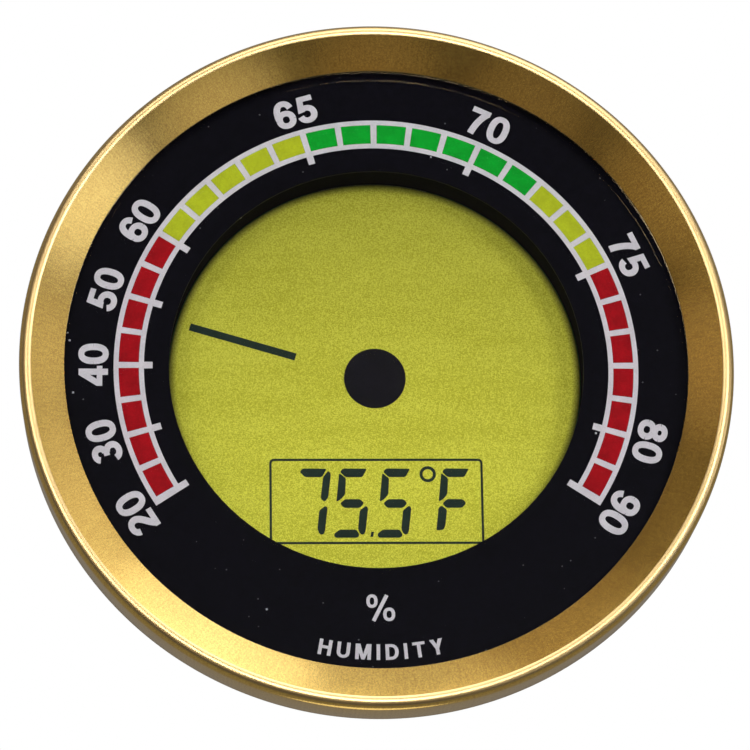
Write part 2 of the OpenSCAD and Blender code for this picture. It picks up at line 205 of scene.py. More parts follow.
def gold(name, color, rough, grain=0.15, bump=0.22, depth=0.01, vary=0.20):
    """Satin gold anodised aluminium: a blasted grain with faint turning streaks across the ring."""
    mat = Mat(name)
    fine = mat.noise(grain, 2, 0.6)
    pits = mat.noise(grain * 0.45, 1, 0.5)
    wide = mat.noise(grain * 30, 2, 0.5)
    lines = mat.streaks(0.16, 1.1)
    both = mat.math("ADD", mat.math("MULTIPLY", fine, 0.5), mat.math("MULTIPLY", pits, 0.5))
    shade = mat.math("ADD", mat.math("MULTIPLY", both, 0.76),
                     mat.math("ADD", mat.math("MULTIPLY", wide, 0.06), mat.math("MULTIPLY", lines, 0.18)))
    mat.into(Base_Color=mat.mix(mat.span(shade, 0.41, 0.59), tone(color, 1 - vary), tone(color, 1 + vary)),
             Roughness=mat.span(wide, 0.3, 0.7, rough - 0.02, rough + 0.02),
             Normal=mat.bump(mat.math("ADD", both, mat.math("MULTIPLY", lines, 0.6)), bump, depth))
    return mat.set(Metallic=1.0).material


# Dust specks: size of the cell that holds one, the speck's radius in cells, the share of cells left clean,
# and brightness.
DUST = ((1.27, 0.050, 0.25, 0.13), (2.63, 0.034, 0.30, 0.55))


def print_black(name):
    """Black print with a few dust specks."""
    mat = Mat(name)
    mottle = mat.noise(0.5, 3, 0.6)
    base = mat.mix(mat.span(mottle, 0.3, 0.7), (0.0010, 0.0007, 0.0034, 1), (0.0026, 0.0020, 0.0064, 1))
    color = base
    for size, radius, share, bright in DUST:
        dots = mat.cells(size)
        near = mat.math("LESS_THAN", dots.outputs["Distance"], radius)
        split = mat.tree.nodes.new("ShaderNodeSeparateColor")
        mat.link(dots.outputs["Color"], split.inputs["Color"])
        picked = mat.math("GREATER_THAN", split.outputs[0], share)
        color = mat.mix(mat.math("MULTIPLY", near, picked), color, (bright, bright, bright * 1.08, 1))
    mat.into(Base_Color=color, Roughness=mat.span(mottle, 0.3, 0.7, 0.38, 0.48))
    return mat.set(Specular_IOR_Level=0.04).material


def ink(name, color, vary=0.10, grain=0.12, shine=0.2):
    """Screen-printed ink."""
    mat = Mat(name)
    fine = mat.noise(grain, 2, 0.6)
    wide = mat.noise(grain * 8, 2, 0.5)
    both = mat.math("ADD", mat.math("MULTIPLY", fine, 0.5), mat.math("MULTIPLY", wide, 0.5))
    mat.into(Base_Color=mat.mix(mat.span(both, 0.35, 0.65), tone(color, 1 - vary), tone(color, 1 + vary)),
             Roughness=mat.span(wide, 0.3, 0.7, 0.45, 0.6))
    return mat.set(Specular_IOR_Level=shine).material


def display_film(name, dark, light):
    """Reflective display film: a fine grain of two greens under a matt surface. Painted shade makes it
    duller towards the top and dark round its edge, where the mask's tube and the holder's wall shade it."""
    mat = Mat(name)
    fine = mat.noise(0.085, 2, 0.7)
    coarse = mat.noise(0.16, 2, 0.6)
    wide = mat.noise(5, 3, 0.6, (0.5, 1, 2.5))
    grain = mat.math("ADD", mat.math("MULTIPLY", fine, 0.7), mat.math("MULTIPLY", coarse, 0.3))
    both = mat.math("ADD", mat.math("MULTIPLY", grain, 0.88), mat.math("MULTIPLY", wide, 0.12))
    radius, _, y = mat.polar()
    film = mat.mix(mat.span(both, 0.44, 0.56), dark, light)
    # Painted shade: darker round the film's edge, standing in for the holder wall's shadow.
    painted_edge_shade = mat.span(radius, FILM_R * MM, (FILM_R - FILM_FADE) * MM)
    # Painted shade: duller towards the top, standing in for the mask tube's shadow from light above.
    top = mat.span(y, -10 * MM, 16 * MM, 0.99, 0.62)
    shaded = mat.tree.nodes.new("ShaderNodeVectorMath")
    shaded.operation = "SCALE"
    mat.link(film, shaded.inputs[0])
    mat.link(mat.math("MULTIPLY", painted_edge_shade, top), shaded.inputs["Scale"])
    mat.into(Base_Color=shaded.outputs[0],
             Roughness=mat.span(coarse, 0.3, 0.7, 0.5, 0.65),
             Normal=mat.bump(fine, 0.2, 0.01))
    return mat.set(Specular_IOR_Level=0.15).material


def clear(name, tint, ior=1.49):
    """Clear sheet: light passes straight through, and the surface mirrors a little."""
    mat = Mat(name)
    see = mat.tree.nodes.new("ShaderNodeBsdfTransparent")
    see.inputs["Color"].default_value = tint
    shine = mat.tree.nodes.new("ShaderNodeBsdfGlossy")
    shine.inputs["Roughness"].default_value = 0.02
    fresnel = mat.tree.nodes.new("ShaderNodeFresnel")
    fresnel.inputs["IOR"].default_value = ior
    blend = mat.tree.nodes.new("ShaderNodeMixShader")
    mat.link(fresnel.outputs[0], blend.inputs[0])
    mat.link(see.outputs[0], blend.inputs[1])
    mat.link(shine.outputs[0], blend.inputs[2])
    mat.link(blend.outputs[0], mat.out.inputs["Surface"])
    mat.tree.nodes.remove(mat.bsdf)
    return mat.material


WAVES_PER_UNIT = 0.314           # scale of the wave texture that repeats once in a unit


def striped(name, dark, light, pitch):
    """Conductive rubber: thin dark and light layers side by side."""
    mat = Mat(name)
    wave = mat.tree.nodes.new("ShaderNodeTexWave")
    wave.bands_direction = "X"
    wave.inputs["Scale"].default_value = WAVES_PER_UNIT / (pitch * MM)
    mat.link(mat.coord, wave.inputs["Vector"])
    grain = mat.noise(0.3, 2, 0.5)
    mat.into(Base_Color=mat.mix(wave.outputs["Fac"], dark, light),
             Roughness=mat.span(grain, 0.3, 0.7, 0.6, 0.8),
             Normal=mat.bump(grain, 0.2, 0.02))
    return mat.material


GOLD = (0.93, 0.565, 0.145, 1)
looks = {
    "gold_bezel": gold("gold_bezel", GOLD, 0.20),
    # The crest's gold is paler than the dish's: a painted highlight that whitens the band of light along the
    # crest.
    "gold_crest_painted_highlight": gold("gold_crest_painted_highlight", (0.94, 0.66, 0.29, 1), 0.35, bump=0.03, vary=0.05),
    "gold_edge": gold("gold_edge", (0.88, 0.62, 0.26, 1), 0.20, bump=0.12, vary=0.04),
    "clear_lens": clear("clear_lens", (0.99, 0.99, 0.985, 1)),
    "black_print": print_black("black_print"),
    "ink_white": ink("ink_white", (0.80, 0.765, 0.83, 1), 0.08),
    "ink_red": ink("ink_red", (0.43, 0.004, 0.010, 1), 0.20, shine=0.05),
    "ink_yellow": ink("ink_yellow", (0.56, 0.64, 0.018, 1), 0.12, shine=0.1),
    "ink_green": ink("ink_green", (0.002, 0.45, 0.030, 1), 0.16, shine=0.06),
    "display_film": display_film("display_film", (0.62, 0.61, 0.030, 1), (0.99, 0.98, 0.115, 1)),
    "segment": ink("segment", (0.018, 0.034, 0.028, 1), 0.20, shine=0.08),
    "hub_black": ink("hub_black", (0.010, 0.009, 0.014, 1), 0.2, shine=0.05),
    "black_matt": moulded("black_matt", (0.012, 0.011, 0.013, 1), 0.3, rough=(0.9, 0.97),
                          Specular_IOR_Level=0.0),
    "black_foam": moulded("black_foam", (0.012, 0.012, 0.013, 1), 0.3, rough=(0.85, 0.95)),
    "display_glass": clear("display_glass", (0.93, 0.97, 0.94, 1), 1.52),
    "reflector": metal("reflector", (0.72, 0.75, 0.68, 1), rough=(0.5, 0.6)),
    "black_plastic": moulded("black_plastic", (0.026, 0.026, 0.028, 1), 0.22),
    "back_plastic": moulded("back_plastic", (0.050, 0.050, 0.053, 1), 0.28, rough=(0.5, 0.66), bump=0.5),
    "conductive_rubber": striped("conductive_rubber", (0.01, 0.01, 0.01, 1), (0.30, 0.29, 0.28, 1), 0.2),
    "circuit_board": moulded("circuit_board", (0.012, 0.13, 0.045, 1), 0.5, rough=(0.25, 0.4)),
    "epoxy": moulded("epoxy", (0.008, 0.008, 0.008, 1), 0.8, rough=(0.12, 0.25), bump=0.1),
    "component_black": moulded("component_black", (0.02, 0.02, 0.021, 1), 0.15),
    "bright_metal": metal("bright_metal", (0.74, 0.73, 0.70, 1)),
    "ceramic": moulded("ceramic", (0.42, 0.28, 0.15, 1), 0.15, rough=(0.45, 0.6)),
    "screw_steel": metal("screw_steel", (0.62, 0.62, 0.65, 1), rough=(0.25, 0.42)),
    "cell_can": metal("cell_can", (0.78, 0.77, 0.75, 1), rough=(0.2, 0.3)),
    "magnet_nickel": metal("magnet_nickel", (0.66, 0.64, 0.60, 1), rough=(0.12, 0.28), vary=0.04),
    "filter_cloth": moulded("filter_cloth", (0.70, 0.69, 0.66, 1), 0.2, rough=(0.8, 0.95), bump=0.6),
    "seal_rubber": moulded("seal_rubber", (0.012, 0.012, 0.012, 1), 0.3, rough=(0.6, 0.8)),
    "button_rubber": moulded("button_rubber", (0.045, 0.046, 0.050, 1), 0.18, rough=(0.6, 0.75)),
}


# ------------------------------------------------------------- mesh helpers

SHARP = math.radians(32)         # edges that turn by more than this stay sharp
WELD = 1e-5                      # points of a plate closer than this are one, in millimetres


def finish_mesh(name, bm, material, body="housing"):
    """Turns a bmesh into a piece that rides on a body. material is one material or a list."""
    bmesh.ops.recalc_face_normals(bm, faces=bm.faces[:])
    for f in bm.faces:
        f.smooth = True
    for e in bm.edges:
        e.smooth = e.calc_face_angle(0) < SHARP
    mesh = bpy.data.meshes.new(name)
    bm.to_mesh(mesh)
    bm.free()
    for m in material if isinstance(material, (list, tuple)) else [material]:
        mesh.materials.append(m)
    obj = bpy.data.objects.new(name, mesh)
    bpy.context.scene.collection.objects.link(obj)
    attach(obj, body)
    return obj


def lathe(name, profile, material, steps, pick=None, closed=True):
    """Body of revolution round the dial's axis from points (radius, height). pick(i) is the material
    number of the band that starts at point i. A profile that runs from axis to axis isn't closed."""
    bm = bmesh.new()
    turns = [2 * math.pi * k / steps for k in range(steps)]
    rings = [[bm.verts.new(at(r * math.cos(a), r * math.sin(a), z)) for r, z in profile] for a in turns]
    count = len(profile)
    for k in range(steps):
        one, two = rings[k], rings[(k + 1) % steps]
        for i in range(count if closed else count - 1):
            j = (i + 1) % count
            face = bm.faces.new((one[i], one[j], two[j], two[i]))
            face.material_index = pick(i) if pick else 0
    bmesh.ops.remove_doubles(bm, verts=bm.verts[:], dist=1e-8)
    bmesh.ops.dissolve_degenerate(bm, edges=bm.edges[:], dist=1e-9)
    return finish_mesh(name, bm, material)


def corner(cx, cz, r, start, end, steps):
    """Round corner of a section, from one angle to another in degrees."""
    return [(cx + r * math.cos(math.radians(start + (end - start) * i / steps)),
             cz + r * math.sin(math.radians(start + (end - start) * i / steps))) for i in range(steps + 1)]


def area(poly):
    """Area of a polygon, negative when it runs clockwise."""
    return sum(a[0] * b[1] - b[0] * a[1] for a, b in zip(poly, poly[1:] + poly[:1])) / 2


def plate(name, polygons, low, high, material, slot):
    """Thin closed plate: the union of flat polygons of the dial's plane, between two heights."""
    points, faces = [], []
    for poly in polygons:
        poly = [tuple(p) for p in poly]
        if area(poly) < 0:
            poly.reverse()
        faces.append(list(range(len(points), len(points) + len(poly))))
        points += poly
    flat_points = [Vector(p) for p in points]
    verts, _, tris, _, _, origin = geometry.delaunay_2d_cdt(flat_points, [], faces, 0, WELD, True)
    bm = bmesh.new()
    top = [bm.verts.new(at(v.x, v.y, high)) for v in verts]
    flat = [bm.faces.new([top[i] for i in t]) for t, ids in zip(tris, origin) if ids]
    bmesh.ops.delete(bm, geom=[v for v in bm.verts if not v.link_faces], context="VERTS")
    grown = bmesh.ops.extrude_face_region(bm, geom=flat)
    drop = at(0, 0, low) - at(0, 0, high)
    bmesh.ops.translate(bm, vec=drop, verts=[g for g in grown["geom"] if isinstance(g, bmesh.types.BMVert)])
    return finish_mesh(name, bm, material)


# ------------------------------------------------------------ flat drawing

def arc(cx, cy, rx, ry, start, end, steps=18, power=2.0):
    """Points on an ellipse, or on a squarer oval when power is over 2."""
    out = []
    for i in range(steps + 1):
        a = math.radians(start + (end - start) * i / steps)
        c, s = math.cos(a), math.sin(a)
        out.append(Vector((cx + rx * math.copysign(abs(c) ** (2 / power), c),
                           cy + ry * math.copysign(abs(s) ** (2 / power), s))))
    return out


def bend(a, b, c, d, steps=12):
    """Points on a Bezier curve."""
    a, b, c, d = (Vector(p) for p in (a, b, c, d))
    out = []
    for i in range(steps + 1):
        t = i / steps
        out.append(a * (1 - t) ** 3 + b * 3 * t * (1 - t) ** 2 + c * 3 * t * t * (1 - t) + d * t ** 3)
    return out


def stroke(points, pen):
    """Outline of a line drawn with a pen of (width across an upright line, width across a level one)."""
    left, right = [], []
    for i, p in enumerate(points):
        way = (points[min(i + 1, len(points) - 1)] - points[max(i - 1, 0)]).normalized()
        side = Vector((-way.y, way.x))
        half = math.hypot(pen[0] * side.x, pen[1] * side.y) / 2
        left.append(p + side * half)
        right.append(p - side * half)
    return left + right[::-1]


def oval(cx, cy, rx, ry, pen, power=2.0):
    """Closed ring, in two halves."""
    return [stroke(arc(cx, cy, rx, ry, a, a + 180, 20, power), pen) for a in (0, 180)]


def rect(x0, y0, x1, y1):
    """Rectangle between two corners."""
    return [(x0, y0), (x1, y0), (x1, y1), (x0, y1)]


PEN = (0.232, 0.205)             # of the numerals, as stroke() takes it
NUMERAL_W = 0.7


def numeral(ch):
    """Outlines of a bold numeral, one unit tall and NUMERAL_W wide."""
    if ch == "0":
        return oval(0.35, 0.5, 0.252, 0.416, PEN, 2.35)
    if ch == "8":
        return oval(0.35, 0.745, 0.205, 0.171, PEN, 2.1) + oval(0.35, 0.295, 0.243, 0.211, PEN, 2.15)
    if ch in "69":
        parts = oval(0.355, 0.315, 0.238, 0.231, PEN, 2.15) + [
            stroke(arc(0.36, 0.5, 0.262, 0.416, 196, 28, 26, 2.3), PEN)]
        return parts if ch == "6" else [[(NUMERAL_W - p[0], 1 - p[1]) for p in part] for part in parts]
    if ch == "2":
        return [stroke(arc(0.345, 0.70, 0.232, 0.216, 176, -18, 22, 2.1), PEN),
                stroke(bend((0.567, 0.66), (0.53, 0.45), (0.20, 0.32), (0.115, 0.09)), (0.235, 0.235)),
                rect(0.005, 0, 0.675, 0.195)]
    if ch == "3":
        return [stroke(arc(0.33, 0.735, 0.205, 0.181, 168, -82, 22, 2.1), PEN),
                stroke(arc(0.33, 0.292, 0.245, 0.208, 82, -168, 22, 2.1), PEN),
                rect(0.235, 0.42, 0.37, 0.62)]
    if ch == "4":
        return [rect(0.385, 0, 0.605, 1), rect(-0.005, 0.19, 0.705, 0.38),
                [(-0.005, 0.25), (0.19, 0.30), (0.48, 0.76), (0.44, 1.0), (0.385, 1.0), (-0.005, 0.38)]]
    if ch == "5":
        return [rect(0.115, 0.805, 0.645, 1.0),
                [(0.115, 1.0), (0.31, 0.86), (0.275, 0.43), (0.04, 0.40)],
                stroke(arc(0.335, 0.325, 0.245, 0.232, 128, -168, 26, 2.1), PEN)]
    if ch == "7":
        return [rect(0.02, 0.805, 0.68, 1.0),
                stroke(bend((0.585, 0.90), (0.43, 0.70), (0.30, 0.40), (0.275, 0.0)), (0.23, 0.23))]
    raise ValueError(ch)


def letter(ch):
    """Outlines of a bold capital, one unit tall, and its width."""
    w, s, b = 0.82, 0.225, 0.185
    if ch == "H":
        return [rect(0, 0, s, 1), rect(w - s, 0, w, 1), rect(0, 0.5 - b / 2 + 0.02, w, 0.5 + b / 2 + 0.02)], w
    if ch == "U":
        return [rect(0, 0.36, s, 1), rect(w - s, 0.36, w, 1),
                stroke(arc(w / 2, 0.38, w / 2 - s / 2, 0.38 - b / 2, 180, 360, 22, 2.2), (s, b))], w
    if ch == "M":
        m = 0.99
        return [rect(0, 0, s, 1), rect(m - s, 0, m, 1),
                [(0, 1), (0.30, 1), (m / 2 + 0.10, 0), (m / 2 - 0.10, 0)],
                [(m, 1), (m - 0.30, 1), (m / 2 - 0.10, 0), (m / 2 + 0.10, 0)]], m
    if ch == "I":
        return [rect(0, 0, s, 1)], s
    if ch == "D":
        return [rect(0, 0, s, 1), rect(0, 1 - b, 0.36, 1), rect(0, 0, 0.36, b),
                stroke(arc(0.34, 0.5, w - 0.34 - s / 2, 0.5 - b / 2, 90, -90, 24, 2.2), (s, b))], w
    if ch == "T":
        return [rect(0, 1 - b, 0.78, 1), rect(0.39 - s / 2, 0, 0.39 + s / 2, 1)], 0.78
    if ch == "Y":
        mid = w / 2
        return [rect(mid - s / 2, 0, mid + s / 2, 0.44),
                [(0, 1), (0.26, 1), (mid + s / 2, 0.42), (mid - s / 2, 0.38)],
                [(w, 1), (w - 0.26, 1), (mid - s / 2, 0.42), (mid + s / 2, 0.38)]], w
    raise ValueError(ch)


def placed(outlines, scale, shift, turn, radius, angle):
    """Outlines scaled and shifted, turned about their own middle, and put on a circle at an angle."""
    spin = Matrix.Rotation(math.radians(turn), 2)
    centre = Vector((radius * math.cos(math.radians(angle)), radius * math.sin(math.radians(angle))))
    return [[centre + spin @ (Vector((p[0] + shift[0], p[1] + shift[1])) * scale) for p in part]
            for part in outlines]


def ring_cell(inner, outer, start, end, steps=8):
    """Cell of a ring between two radii and two angles, in degrees."""
    def side(r, a, b):
        return [(r * math.cos(math.radians(a + (b - a) * i / steps)),
                 r * math.sin(math.radians(a + (b - a) * i / steps))) for i in range(steps + 1)]
    return side(inner, start, end) + side(outer, end, start)


# ------------------------------------------------------------------- bezel

BEZEL_R, BEZEL_Z, CREST_Z = 28.5, 9.8, 14.0
CREST_ROUND, SIDE_ROUND, MEET = 0.58, 1.05, 40
LIP_R, LIP_Z, LIP_ROUND = 24.95, 12.35, 0.07
LIP_LIFT = 0.012                 # raises the lip's round towards the dish
BACK_ROUND = 0.15
SKIRT_IN_R = 26.9                # inside of the side wall's back edge
SEAT_R, SEAT_Z = 27.4, 10.2      # step that the case's flange sits in
GOLD_DISH, GOLD_LIP, GOLD_CREST = range(3)       # places in the list of golds below
# The shoulder is a large round up to the angle MEET and a small one from there over the crest.
meet = Vector((math.cos(math.radians(MEET)), math.sin(math.radians(MEET))))
small = Vector((BEZEL_R - SIDE_ROUND, 0)) + meet * (SIDE_ROUND - CREST_ROUND)
small.y = CREST_Z - CREST_ROUND
big_z = small.y - meet.y * (SIDE_ROUND - CREST_ROUND)
CREST_R = small.x
slope = math.degrees(math.atan2(CREST_Z - LIP_Z, CREST_R - LIP_R))
section = [(SKIRT_IN_R, BEZEL_Z)]
section += corner(BEZEL_R - BACK_ROUND, BEZEL_Z + BACK_ROUND, BACK_ROUND, -90, 0, 5)
section += corner(BEZEL_R - SIDE_ROUND, big_z, SIDE_ROUND, 0, MEET, 10)
crest_from = len(section) - 1
section += corner(small.x, small.y, CREST_ROUND, MEET, 90 + slope, 18)[1:]
dish_from = len(section) - 1
lip_from = len(section)
section += corner(LIP_R + LIP_ROUND, LIP_Z - LIP_ROUND + LIP_LIFT, LIP_ROUND, 90 + slope, 180, 6)
lip_to = len(section)
section += [(LIP_R, LENS_Z[1]), (SEAT_R, LENS_Z[1]), (SEAT_R, SEAT_Z), (SKIRT_IN_R, SEAT_Z)]


def bezel_finish(i):
    """Material number of the bezel's band that starts at point i of the section."""
    if lip_from <= i < lip_to:
        return GOLD_LIP
    return GOLD_CREST if crest_from <= i < dish_from else GOLD_DISH


golds = [looks["gold_bezel"], looks["gold_edge"], looks["gold_crest_painted_highlight"]]
bezel = lathe("bezel_ring", section, golds, steps=360, pick=bezel_finish)
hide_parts("bezel")

# -------------------------------------------------------------------- lens

lens_section = [(0, LENS_Z[0]), (LENS_R - LENS_BEVEL, LENS_Z[0]), (LENS_R, LENS_Z[0] + LENS_BEVEL),
                (LENS_R, LENS_Z[1] - LENS_BEVEL), (LENS_R - LENS_BEVEL, LENS_Z[1]), (0, LENS_Z[1])]
lens = lathe("lens_disc", lens_section, looks["clear_lens"], steps=192, closed=False)
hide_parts("lens")

# ------------------------------------------------------------------- print

# The scale has equal cells, clockwise from the angle FIRST. LABELS gives the text at a line, counted from 0.
CELLS, FIRST, SWEEP = 30, 212.4, 244.9
CELL = SWEEP / CELLS
LABELS = {0: "20", 2: "30", 4: "40", 6: "50", 8: "60", 13: "65", 18: "70", 23: "75", 28: "80", 30: "90"}
YELLOW_CELLS, GREEN_CELLS = range(8, 23), range(13, 20)
SCALE_IN, SCALE_OUT, LINE_W = 18.64, 21.06, 0.40
DIVIDER = 1.40                   # width of the lines between cells, in degrees
TICK_IN, TICK = 17.95, 1.72      # inner end of the ticks, and their width in degrees
NUMBER_R, NUMBER_H, ADVANCE = 22.67, 2.34, 0.785
GAP, GAP_TURN = 0.015, 0.05      # black left between the colours and the lines, in millimetres and degrees
INK = (PRINT_Z - 0.01, PRINT_Z + 0.016)

lines = []
last = FIRST - SWEEP
for k in range(CELLS):
    a0, a1 = FIRST - k * CELL, FIRST - (k + 1) * CELL
    lines.append(ring_cell(SCALE_OUT - LINE_W, SCALE_OUT, a1, a0))
    lines.append(ring_cell(SCALE_IN, SCALE_IN + LINE_W, a1, a0))
for k in range(CELLS + 1):
    a = FIRST - k * CELL
    lines.append(ring_cell(SCALE_IN, SCALE_OUT, a - DIVIDER / 2, a + DIVIDER / 2, 3))
    if k in LABELS:
        lines.append(ring_cell(TICK_IN, SCALE_IN + LINE_W / 2, a - TICK / 2, a + TICK / 2, 3))
for a in (FIRST, last):
    lines.append(ring_cell(SCALE_IN, SCALE_OUT, a - TICK / 2, a + TICK / 2, 3))
plate("scale_lines", lines, *INK, looks["ink_white"], "black_print")

colors = {"ink_red": [], "ink_yellow": [], "ink_green": []}
for k in range(CELLS):
    kind = "ink_green" if k in GREEN_CELLS else "ink_yellow" if k in YELLOW_CELLS else "ink_red"
    a0, a1 = FIRST - k * CELL - DIVIDER / 2 - GAP_TURN, FIRST - (k + 1) * CELL + DIVIDER / 2 + GAP_TURN
    if k == 0:
        a0 = FIRST - TICK / 2 - GAP_TURN
    if k == CELLS - 1:
        a1 = last + TICK / 2 + GAP_TURN
    colors[kind].append(ring_cell(SCALE_IN + LINE_W + GAP, SCALE_OUT - LINE_W - GAP, a1, a0))
for kind, cells in colors.items():
    plate(kind.replace("ink", "scale"), cells, *INK, looks[kind], "black_print")

numbers = []
for k, text in LABELS.items():
    angle = FIRST - k * CELL
    for i, ch in enumerate(text):
        shift = (-(ADVANCE + NUMERAL_W) / 2 + i * ADVANCE, -0.5)
        numbers += placed(numeral(ch), NUMBER_H, shift, angle - 90, NUMBER_R, angle)
plate("scale_numbers", numbers, *INK, looks["ink_white"], "black_print")

# The sign's rings are x, y, half width and half height.
PERCENT_RINGS = ((-0.67, -19.33, 0.31, 0.42), (0.67, -20.40, 0.34, 0.42))
PERCENT_PEN, SQUARENESS = (0.27, 0.25), 2.3
PERCENT_BAR, BAR_W = [Vector((-0.56, -20.93)), Vector((0.50, -18.85))], 0.30
percent = []
for ring in PERCENT_RINGS:
    percent += oval(*ring, PERCENT_PEN, SQUARENESS)
percent.append(stroke(PERCENT_BAR, (BAR_W, BAR_W)))
plate("percent_sign", percent, *INK, looks["ink_white"], "black_print")

WORD_H, WORD_R, WORD_GAP = 1.25, 23.43, 0.34
glyphs = [letter(ch) for ch in "HUMIDITY"]
total = sum(w for _, w in glyphs) + WORD_GAP * (len(glyphs) - 1)
word, cursor = [], -total / 2
for outlines, width in glyphs:
    angle = 270 + math.degrees((cursor + width / 2) * WORD_H / WORD_R)
    word += placed(outlines, WORD_H, (-width / 2, -0.5), angle - 270, WORD_R, angle)
    cursor += width + WORD_GAP
plate("word_humidity", word, *INK, looks["ink_white"], "black_print")

# ----------------------------------------------------------------- display

SHOWN = (DISPLAY_Z - 0.01, DISPLAY_Z + 0.012)
POINTER_TIP, POINTER_TAIL, POINTER_W = Vector((-14.98, 4.39)), Vector((-6.41, 1.83)), 0.62
pointer = stroke([POINTER_TIP, POINTER_TAIL], (POINTER_W, POINTER_W))
plate("display_pointer", [pointer], *SHOWN, looks["segment"], "display_film")

# The seven segments of a digit, upright and round its own middle.
SEGMENTS = {
    "a": [(-1.04, 2.83), (0.78, 2.81), (0.53, 2.23), (-0.77, 2.23), (-1.20, 2.62)],
    "b": [(1.03, 2.62), (1.20, 2.42), (1.20, 0.50), (1.00, 0.20), (0.72, 0.42), (0.72, 2.15)],
    "c": [(1.12, -0.28), (1.25, -0.42), (1.25, -2.30), (1.15, -2.55), (0.94, -2.50), (0.74, -2.12),
          (0.72, -0.62)],
    "d": [(-1.14, -2.58), (-0.78, -2.25), (0.52, -2.25), (0.80, -2.62), (0.68, -2.80), (-1.02, -2.80)],
    "e": [(-1.20, -0.42), (-1.03, -0.27), (-0.62, -0.58), (-0.62, -1.90), (-0.72, -2.15), (-1.18, -2.20)],
    "f": [(-1.28, 2.40), (-0.80, 2.05), (-0.72, 0.75), (-0.98, 0.38), (-1.24, 0.22)],
    "g": [(-0.90, -0.02), (-0.62, 0.27), (0.58, 0.27), (0.86, 0.0), (0.62, -0.33), (-0.60, -0.33)],
}
SLANT = 0.12                     # how far a digit leans to the right for each unit of height
SPREAD = 0.06                    # how far the shown segments bleed past their outlines
DIGIT_Y = -10.45
CORNER_CUT = 0.09
# Segments that show 7, 5, 5 and F, and where each digit's middle is.
DIGITS = (("abc", -5.2), ("afgcd", -1.95), ("afgcd", 1.52), ("afge", 6.27))
DECIMAL_POINT = [(-0.56, -13.24), (-0.33, -13.24), (-0.24, -12.82), (-0.46, -12.82)]
DEGREE_AT, DEGREE_R, DEGREE_W = (4.15, -8.04), 0.54, 0.25


def softened(poly):
    """The polygon with its corners cut."""
    out = []
    for i, p in enumerate(poly):
        p, a, b = Vector(p), Vector(poly[i - 1]), Vector(poly[(i + 1) % len(poly)])
        out.append(p + (a - p).normalized() * min(CORNER_CUT, (a - p).length / 3))
        out.append(p + (b - p).normalized() * min(CORNER_CUT, (b - p).length / 3))
    return out


def grown(poly, by):
    """The convex polygon with every side moved outwards."""
    if area(poly) < 0:
        poly = poly[::-1]
    out = []
    for i, p in enumerate(poly):
        p, a, b = Vector(p), Vector(poly[i - 1]), Vector(poly[(i + 1) % len(poly)])
        one, two = (p - a).normalized(), (b - p).normalized()
        normal = Vector((one.y + two.y, -one.x - two.x)).normalized()
        out.append(p + normal * min(by / max(0.5, normal.dot(Vector((one.y, -one.x)))), by * 2))
    return out


def digit(names, cx):
    """Outlines of the named segments of the digit at cx."""
    return [[(cx + p[0] + SLANT * p[1], DIGIT_Y + p[1]) for p in softened(grown(SEGMENTS[n], SPREAD))]
            for n in names]


digits = []
for names, middle in DIGITS:
    digits += digit(names, middle)
digits.append(DECIMAL_POINT)
digits += oval(*DEGREE_AT, DEGREE_R, DEGREE_R, (DEGREE_W, DEGREE_W))
plate("display_digits", digits, *SHOWN, looks["segment"], "display_film")

FRAME_X, FRAME_TOP, FRAME_LOW, FRAME_W, FRAME_R = 8.50, -6.84, -13.74, 0.19, 0.28
pen = (FRAME_W, FRAME_W)
border = [stroke([Vector((-FRAME_X, FRAME_LOW)), Vector((-FRAME_X, FRAME_TOP - FRAME_R))], pen),
          stroke([Vector((FRAME_X, FRAME_LOW)), Vector((FRAME_X, FRAME_TOP - FRAME_R))], pen),
          stroke([Vector((-FRAME_X + FRAME_R, FRAME_TOP)), Vector((FRAME_X - FRAME_R, FRAME_TOP))], pen),
          stroke([Vector((-FRAME_X, FRAME_LOW)), Vector((FRAME_X, FRAME_LOW))], pen),
          stroke(arc(-FRAME_X + FRAME_R, FRAME_TOP - FRAME_R, FRAME_R, FRAME_R, 90, 180, 6), pen),
          stroke(arc(FRAME_X - FRAME_R, FRAME_TOP - FRAME_R, FRAME_R, FRAME_R, 90, 0, 6), pen)]
plate("display_frame", border, *SHOWN, looks["segment"], "display_film")

# --------------------------------------------------------------- CAD nodes

# Nodes that don't take the material of their slot's name.
own = {"lcd_holder": "black_matt", "dial_mask": "black_print", "hub_dot": "hub_black",
       "lcd_polariser": "display_film"}
for part in frame["record"]["subparts"]:
    node = frame["nodes"].get(part["node"])
    if node is None:
        continue
    material = looks[own.get(part["node"], part["material_slot"])]
    if not node.material_slots:
        node.data.materials.append(material)
    for s in node.material_slots:
        s.link = "OBJECT"
        s.material = material

# ------------------------------------------------------------------- stage

FLOOR_Z, FLOOR_HALF = -0.70, 6
bm = bmesh.new()
bmesh.ops.create_grid(bm, x_segments=1, y_segments=1, size=FLOOR_HALF)
mesh = bpy.data.meshes.new("floor")
bm.to_mesh(mesh)
bm.free()
floor = bpy.data.objects.new("floor", mesh)
floor.location = (0, 0, FLOOR_Z)
mesh.materials.append(moulded("floor_paint", (0.72, 0.71, 0.70, 1), 3.0, vary=0.02, rough=(0.7, 0.8),
                              bump=0.05, Emission_Color=(0.95, 0.94, 0.93, 1), Emission_Strength=0.88))
# The lit floor is a backdrop only: it throws no light and makes no reflection on the metal.
floor.visible_diffuse = floor.visible_glossy = False
bpy.context.scene.collection.objects.link(floor)

